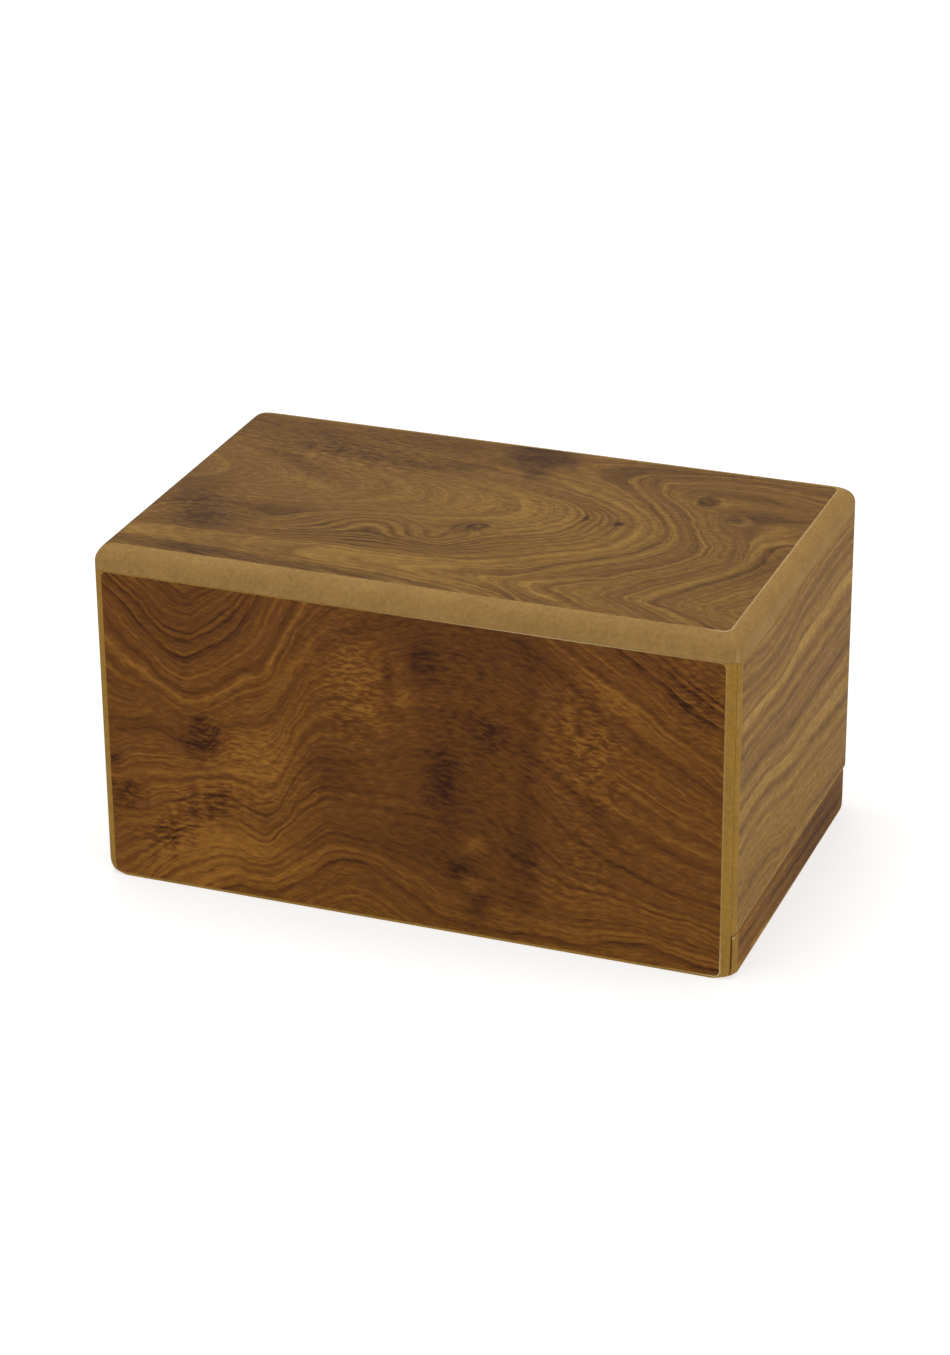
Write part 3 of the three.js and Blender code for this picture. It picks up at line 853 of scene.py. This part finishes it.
def bare_board(colours):
    """Unfinished MDF, pressed from felted fibre."""
    # Even warm tan with no grain direction, dull and slightly furry
    material, tree = empty_material("raw_mdf")
    place = add(tree, "ShaderNodeTexCoord").node.outputs["Object"]
    point = add(tree, VECTORS, {0: place, "Scale": 1 / MM}, "SCALE")
    body, fibre = felted_fibre(tree, point, colours.raw_board)
    gloss = add(tree, MATHS, [fibre, 0.12, 0.82], "MULTIPLY_ADD")
    bumps = add(tree, "ShaderNodeBump", {"Height": fibre, "Strength": 0.8, "Distance": 0.05 * MM})
    finish = {"Base Color": body, "Roughness": gloss, "Specular IOR Level": 0.2, "Normal": bumps}
    shader = add(tree, "ShaderNodeBsdfPrincipled", finish)
    add(tree, "ShaderNodeOutputMaterial", {"Surface": shader})
    return material


def matt_card(colours):
    """White studio card."""
    # Flat and pale with no gloss, and a little glow that keeps the shadows light
    material, tree = empty_material("matt_card")
    finish = {
        "Base Color": (*colours.floor, 1),
        "Roughness": 0.9,
        "Specular IOR Level": 0.0,
        "Emission Color": (1, 1, 1, 1),
        "Emission Strength": 0.6,
    }
    shader = add(tree, "ShaderNodeBsdfPrincipled", finish)
    add(tree, "ShaderNodeOutputMaterial", {"Surface": shader})
    return material


def routed_edges_tree():
    """Geometry Nodes that trim a square-edged blank to the box's routed form.

    The form is a drum whose rings are the box's plan drawn in by the routed profile at each height.
    """
    tree = bpy.data.node_groups.new("Routed Edges", "GeometryNodeTree")
    tree.interface.new_socket("Blank", in_out="INPUT", socket_type="NodeSocketGeometry")
    for name in ROUTED_SIZES:
        tree.interface.new_socket(name, in_out="INPUT", socket_type="NodeSocketFloat")
    tree.interface.new_socket("Arc Steps", in_out="INPUT", socket_type="NodeSocketInt")
    for name in ("Notch Place", "Notch Size"):
        tree.interface.new_socket(name, in_out="INPUT", socket_type="NodeSocketVector")
    tree.interface.new_socket("Finish", in_out="INPUT", socket_type="NodeSocketMaterial")
    tree.interface.new_socket("Board", in_out="OUTPUT", socket_type="NodeSocketGeometry")
    given = add(tree, "NodeGroupInput").node.outputs
    steps = given["Arc Steps"]
    position = add(tree, "GeometryNodeInputPosition")

    # The plan, and a drum with a ring of its points for each step of the profile
    plan = {"Width": given["Length"], "Height": given["Depth"]}
    plan = add(tree, "GeometryNodeCurvePrimitiveQuadrilateral", plan)
    reach = add(tree, MATHS, [given["Corner Round"], CORNER_SPREAD], "MULTIPLY")
    fillet = {"Curve": plan, "Count": steps, "Radius": reach}
    plan = add(tree, "GeometryNodeFilletCurve", fillet, mode="POLY")
    around = add(tree, "GeometryNodeAttributeDomainSize", {"Geometry": plan}, component="CURVE")
    bands = add(tree, MATHS, [steps, 2.0, 1.0], "MULTIPLY_ADD")
    rings = {"Vertices": around, "Side Segments": bands, "Radius": 1.0, "Depth": 1.0}
    drum = add(tree, "GeometryNodeMeshCylinder", rings, fill_type="NGON")
    on_drum = add(tree, SPLIT, {"Vector": position}).node.outputs
    turn = add(tree, MATHS, [on_drum["Y"], on_drum["X"]], "ARCTAN2")
    turn = add(tree, MATHS, [turn, 2 * math.pi], "DIVIDE")
    step = add(tree, MATHS, [turn, around], "MULTIPLY")
    step = add(tree, MATHS, [step], "ROUND")
    step = add(tree, MATHS, [step, around], "FLOORED_MODULO")
    sampled = {"Geometry": plan, "Value": position, "Index": step}
    corner = add(tree, "GeometryNodeSampleIndex", sampled, data_type="FLOAT_VECTOR")

    # Each corner's quarter circle is pushed out to the tighter routed round
    half = add(tree, JOIN, {"X": given["Length"], "Y": given["Depth"]})
    half = add(tree, VECTORS, {0: half, "Scale": 0.5}, "SCALE")
    out = add(tree, VECTORS, [corner], "ABSOLUTE")
    out = add(tree, VECTORS, [out, half], "SUBTRACT")
    out = add(tree, VECTORS, [out, reach], "DIVIDE")
    out = add(tree, VECTORS, [out, (1, 1, 0)], "ADD")
    wide, deep = add(tree, SPLIT, {"Vector": out}).node.outputs[:2]
    raised = [add(tree, MATHS, [part, CORNER_POWER], "POWER") for part in (wide, deep)]
    push = add(tree, MATHS, [raised[0], raised[1]], "ADD")
    push = add(tree, MATHS, [push, -1 / CORNER_POWER], "POWER")
    push = add(tree, MATHS, [push, 1.0], "SUBTRACT")
    push = add(tree, MATHS, [push, reach], "MULTIPLY")
    out = add(tree, VECTORS, {0: out, "Scale": push}, "SCALE")
    outwards = add(tree, VECTORS, [corner], "SIGN")
    corner = add(tree, VECTORS, [out, outwards, corner], "MULTIPLY_ADD")

    # The profile's angle at each ring, from the foot's edge round to the top face
    ring = add(tree, MATHS, [on_drum["Z"], 0.5], "ADD")
    ring = add(tree, MATHS, [ring, bands], "MULTIPLY")
    ring = add(tree, MATHS, [ring], "ROUND")
    upper = add(tree, MATHS, [ring, steps], "GREATER_THAN")
    quarter = add(tree, MATHS, [math.pi / 2, steps], "DIVIDE")
    bearing = add(tree, MATHS, [ring, upper], "SUBTRACT")
    bearing = add(tree, MATHS, [bearing, quarter], "MULTIPLY")

    # How high each ring stands
    start = add(tree, MATHS, [given["Top Round"], -2.0, given["Height"]], "MULTIPLY_ADD")
    start = add(tree, MATHS, [start, upper], "MULTIPLY")
    tall = {"Factor": upper, "A": given["Foot Rise"], "B": given["Top Round"]}
    tall = add(tree, MIX, tall, data_type="FLOAT")
    rise = add(tree, MATHS, [bearing], "COSINE")
    rise = add(tree, MATHS, [1.0, rise], "SUBTRACT")
    rise = add(tree, MATHS, [rise, tall, start], "MULTIPLY_ADD")

    # How far each ring is drawn in: round at the top, sharper at the foot
    most = {"Factor": upper, "A": given["Foot Ease"], "B": given["Top Round"]}
    most = add(tree, MIX, most, data_type="FLOAT")
    short = add(tree, MATHS, [bearing], "SINE")
    short = add(tree, MATHS, [1.0, short], "SUBTRACT")
    power = add(tree, MATHS, [2.0, upper], "SUBTRACT")
    drawn_in = add(tree, MATHS, [short, power], "POWER")
    drawn_in = add(tree, MATHS, [drawn_in, most], "MULTIPLY")

    # The corners lose more at the foot, most of it in their middle
    middle = add(tree, MATHS, [wide, deep], "MULTIPLY")
    middle = add(tree, MATHS, [middle, 2.0], "MULTIPLY")
    middle = add(tree, MATHS, [middle, 2.0], "POWER")
    lower = add(tree, MATHS, [1.0, upper], "SUBTRACT")
    eased = add(tree, MATHS, [short, lower], "MULTIPLY")
    eased = add(tree, MATHS, [eased, given["Corner Ease"]], "MULTIPLY")
    drawn_in = add(tree, MATHS, [eased, middle, drawn_in], "MULTIPLY_ADD")

    # The plan's corners are drawn in whole, so that each keeps its round up to the top
    inwards = add(tree, VECTORS, {0: outwards, "Scale": drawn_in}, "SCALE")
    place = add(tree, VECTORS, [corner, inwards], "SUBTRACT")
    lifted = add(tree, JOIN, {"Z": rise})
    place = add(tree, VECTORS, [place, lifted], "ADD")
    form = add(tree, "GeometryNodeSetPosition", {"Geometry": drum, "Position": place})

    # A block is cut out of the blank
    notch = add(tree, "GeometryNodeMeshCube", {"Size": given["Notch Size"]})
    notch = add(tree, "GeometryNodeTransform", {"Geometry": notch, "Translation": given["Notch Place"]})
    cut = [given["Blank"], notch]
    notched = add(tree, "GeometryNodeMeshBoolean", cut, "DIFFERENCE", solver="EXACT")

    # What is left trimmed to the form, shaded smooth over the rounds and sharp at the cuts
    both = {1: [notched, form]}
    trimmed = add(tree, "GeometryNodeMeshBoolean", both, "INTERSECT", solver="EXACT")
    smooth = add(tree, "GeometryNodeSetShadeSmooth", {"Geometry": trimmed}, domain="FACE")
    bend = add(tree, "GeometryNodeInputMeshEdgeAngle")
    sharp = add(tree, MATHS, [bend, SHARP_BEND], "GREATER_THAN")
    creases = {"Geometry": smooth, "Selection": sharp, "Shade Smooth": False}
    creased = add(tree, "GeometryNodeSetShadeSmooth", creases, domain="EDGE")
    real = add(tree, "GeometryNodeRealizeInstances", {"Geometry": creased})
    finished = add(tree, "GeometryNodeSetMaterial", {"Geometry": real, "Material": given["Finish"]})
    add(tree, "NodeGroupOutput", {"Board": finished})
    return tree


# How far the two ends of a board run back for each millimetre inwards
MITRED, SQUARE = (1.0, 1.0), (0.0, 0.0)
STRIP_ENDS = (1.0, 0.3)  # mitred at the front and cut nearly square at the back


def blank(name, profile, half_width, shift=0.0, face=0.0, turn=0.0, mitres=MITRED):
    """A board of the given section, swept along its length and mitred inwards at both ends.

    The section's points are the distance in from the face and the height, in millimetres.
    """
    shape = bmesh.new()
    ends = []
    for side, mitre in zip((-1, 1), mitres):
        ring = []
        for inwards, height in profile:
            reach = half_width - mitre * inwards
            place = Vector((side * reach + shift, inwards - face, height))
            ring.append(shape.verts.new(place * MM))
        ends.append(ring)
    left, right = ends
    count = len(profile)
    for i in range(count):
        j = (i + 1) % count
        shape.faces.new((left[i], right[i], right[j], left[j]))
    shape.faces.new(left)
    shape.faces.new(right[::-1])
    bmesh.ops.recalc_face_normals(shape, faces=shape.faces[:])
    bmesh.ops.rotate(shape, verts=shape.verts[:], cent=(0, 0, 0), matrix=Matrix.Rotation(turn, 3, "Z"))
    mesh = bpy.data.meshes.new(name)
    shape.to_mesh(mesh)
    shape.free()
    piece = bpy.data.objects.new(name, mesh)
    bpy.context.scene.collection.objects.link(piece)
    return piece


# The middle and the size of a block that is cut out of a blank, here well below the box
NO_NOTCH = ((0, 0, -LENGTH), (MM, MM, MM))


def routed(piece, sizes, finish, notch=NO_NOTCH):
    """Notch a blank, trim it to the routed form and keep the result as a plain mesh."""
    tree = bpy.data.node_groups.get("Routed Edges") or routed_edges_tree()
    modifier = piece.modifiers.new("Routed Edges", "NODES")
    modifier.node_group = tree
    values = {
        "Length": LENGTH,
        "Depth": DEPTH,
        "Height": HEIGHT,
        "Top Round": sizes.top_round,
        "Corner Round": sizes.corner_round,
        "Corner Ease": sizes.corner_ease,
        "Foot Ease": sizes.foot_ease,
        "Foot Rise": sizes.foot_rise,
        "Arc Steps": sizes.arc_steps,
        "Notch Place": notch[0],
        "Notch Size": notch[1],
        "Finish": finish,
    }
    for item in tree.interface.items_tree:
        if item.name in values:
            modifier[item.identifier] = values[item.name]
    seen = piece.evaluated_get(bpy.context.evaluated_depsgraph_get())
    made = bpy.data.meshes.new_from_object(seen)
    piece.modifiers.remove(modifier)
    plain = piece.data
    piece.data = made
    made.name = piece.name
    bpy.data.meshes.remove(plain)
    even = piece.modifiers.new("Even Shading", "WEIGHTED_NORMAL")
    even.keep_sharp = True
    even.weight = 100


def stand_in_for(piece, body, slot, *nodes):
    """Let a piece ride on its body in the place of its solids."""
    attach(piece, body)
    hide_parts(*nodes)


class URN_OT_top_panel(bpy.types.Operator):
    """Make the top board with its upper edges routed round"""

    bl_idname = "urn.top_panel"
    bl_label = "Top Panel"

    def execute(self, context):
        slab = [
            (-MARGIN, WALL_TOP),
            (2 * HALF_DEPTH + MARGIN, WALL_TOP),
            (2 * HALF_DEPTH + MARGIN, TOP_HIGH.z + MARGIN),
            (-MARGIN, TOP_HIGH.z + MARGIN),
        ]
        piece = blank("top_board", slab, HALF_LENGTH + MARGIN, face=HALF_DEPTH, mitres=SQUARE)
        routed(piece, context.scene.urn_sizes, burl_foil("top", context.scene.urn_colours))
        stand_in_for(piece, "box", "burl_foil", "top_panel")
        return {"FINISHED"}


class URN_OT_walls(bpy.types.Operator):
    """Make the four mitred walls, three of them grooved for the base"""

    bl_idname = "urn.walls"
    bl_label = "Walls"

    def execute(self, context):
        sizes = context.scene.urn_sizes
        high = WALL_TOP - sizes.glue_line / MM
        gap = sizes.glue_line / MM / math.sqrt(2)
        groove = BOARD - sizes.groove / MM
        groove_low = BASE_LOW.z - sizes.running_gap / MM
        grooved = [
            (-MARGIN, -MARGIN),
            (BOARD, -MARGIN),
            (BOARD, groove_low),
            (groove, groove_low),
            (groove, SLOT),
            (BOARD, SLOT),
            (BOARD, high),
            (-MARGIN, high),
        ]
        short = [(-MARGIN, SLOT), (BOARD, SLOT), (BOARD, high), (-MARGIN, high)]
        behind_strip = (
            (LENGTH / 2, DEPTH / 2, 0),
            (2 * sizes.back_notch, 4 * BOARD * MM, 2 * SLOT * MM),
        )
        walls = (
            ("front", grooved, HALF_LENGTH, HALF_DEPTH, 0, NO_NOTCH),
            ("right", short, HALF_DEPTH, HALF_LENGTH, 90, NO_NOTCH),
            ("back", grooved, HALF_LENGTH, HALF_DEPTH, 180, behind_strip),
            ("left", grooved, HALF_DEPTH, HALF_LENGTH, -90, NO_NOTCH),
        )
        for side, profile, half_width, face, turn, notch in walls:
            piece = blank(f"{side}_wall", profile, half_width - gap, face=face, turn=math.radians(turn))
            routed(piece, sizes, burl_foil(side, context.scene.urn_colours), notch)
            stand_in_for(piece, "box", "burl_foil", f"{side}_panel")
        return {"FINISHED"}


class URN_OT_sliding_base(bpy.types.Operator):
    """Make the base board and the strip that closes its slot"""

    bl_idname = "urn.sliding_base"
    bl_label = "Sliding Base"

    def execute(self, context):
        sizes = context.scene.urn_sizes
        step = HALF_LENGTH - BASE_HIGH.x
        rebate_low = BASE_LOW.z - sizes.glue_line / MM
        profile = [
            (-MARGIN, STRIP_LOW.z),
            (BOARD, STRIP_LOW.z),
            (BOARD, rebate_low),
            (step, rebate_low),
            (step, STRIP_HIGH.z),
            (-MARGIN, STRIP_HIGH.z),
        ]
        front_gap = sizes.strip_front_gap / MM
        back_gap = sizes.strip_back_gap / MM
        strip = blank(
            "base_strip",
            profile,
            HALF_DEPTH - (front_gap + back_gap) / 2,
            shift=(front_gap - back_gap) / 2,
            face=HALF_LENGTH,
            turn=math.pi / 2,
            mitres=STRIP_ENDS,
        )
        routed(strip, sizes, burl_foil("strip", context.scene.urn_colours))
        stand_in_for(strip, "base", "burl_foil", "base_end_strip")
        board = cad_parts["base_board"]
        board.material_slots[0].material = bare_board(context.scene.urn_colours)
        return {"FINISHED"}


class URN_OT_stage(bpy.types.Operator):
    """Set the floor, the lights and the camera"""

    bl_idname = "urn.stage"
    bl_label = "Stage"

    def execute(self, context):
        scene = context.scene
        stage = scene.urn_stage
        reach = stage.floor_reach
        mesh = bpy.data.meshes.new("floor")
        corners = [(-reach, -reach, 0), (reach, -reach, 0), (reach, reach, 0), (-reach, reach, 0)]
        mesh.from_pydata(corners, [], [(0, 1, 2, 3)])
        floor = bpy.data.objects.new("floor", mesh)
        scene.collection.objects.link(floor)
        mesh.materials.append(matt_card(scene.urn_colours))

        world = bpy.data.worlds.new("studio")
        world.use_nodes = True
        sky = world.node_tree.nodes["Background"].inputs
        sky["Color"].default_value = (1, 1, 1, 1)
        sky["Strength"].default_value = 0.35
        scene.world = world
        for name, place, width, power in (
            ("overhead_softbox", (-0.2, -0.1, 2.0), 1.6, 27),
            ("right_fill", (1.7, 0.2, 0.8), 1.2, 7.2),
            ("front_fill", (-0.4, -1.9, 0.9), 1.2, 4),
            ("back_softbox", (-0.7, 1.7, 1.0), 1.2, 6),
        ):
            lamp = bpy.data.lights.new(name, "AREA")
            lamp.size = width
            lamp.energy = power
            holder = bpy.data.objects.new(name, lamp)
            holder.location = place
            aim = Vector((0, 0, HEIGHT / 2)) - Vector(place)
            holder.rotation_euler = aim.to_track_quat("-Z", "Y").to_euler()
            scene.collection.objects.link(holder)

        camera = bpy.data.cameras.new("camera")
        camera.lens = stage.lens
        camera.sensor_width = 36
        camera.clip_end = 100
        holder = bpy.data.objects.new("camera", camera)
        ahead = Vector((
            -math.sin(stage.azimuth) * math.cos(stage.pitch),
            math.cos(stage.azimuth) * math.cos(stage.pitch),
            -math.sin(stage.pitch),
        ))
        right = Vector((math.cos(stage.azimuth), math.sin(stage.azimuth), 0))
        up = right.cross(ahead)
        tilted_right = math.cos(stage.roll) * right + math.sin(stage.roll) * up
        tilted_up = math.cos(stage.roll) * up - math.sin(stage.roll) * right
        turn = Matrix((tilted_right, tilted_up, -ahead)).transposed()
        holder.matrix_world = Matrix.Translation(stage.camera_place) @ turn.to_4x4()
        scene.collection.objects.link(holder)
        scene.camera = holder
        scene.view_settings.view_transform = "Standard"
        return {"FINISHED"}


class URN_PT_panel(bpy.types.Panel):
    """Lists the steps that build the urn box"""

    bl_idname = "URN_PT_panel"
    bl_label = "Urn Box"
    bl_space_type = "VIEW_3D"
    bl_region_type = "UI"
    bl_category = "Urn Box"

    def draw(self, context):
        for step in STEPS:
            self.layout.operator(step.bl_idname)


STEPS = (URN_OT_stage, URN_OT_top_panel, URN_OT_walls, URN_OT_sliding_base)
SETTINGS = {"urn_sizes": UrnBoxSizes, "urn_colours": UrnBoxColours, "urn_stage": UrnBoxStage}


def register():
    for kind in (*SETTINGS.values(), *STEPS, URN_PT_panel):
        bpy.utils.register_class(kind)
    for name, kind in SETTINGS.items():
        setattr(bpy.types.Scene, name, PointerProperty(type=kind))


def unregister():
    for name in SETTINGS:
        delattr(bpy.types.Scene, name)
    for kind in (URN_PT_panel, *reversed(STEPS), *SETTINGS.values()):
        bpy.utils.unregister_class(kind)


def main():
    register()
    bpy.ops.urn.stage()
    bpy.ops.urn.top_panel()
    bpy.ops.urn.walls()
    bpy.ops.urn.sliding_base()


if __name__ == "__main__":
    main()
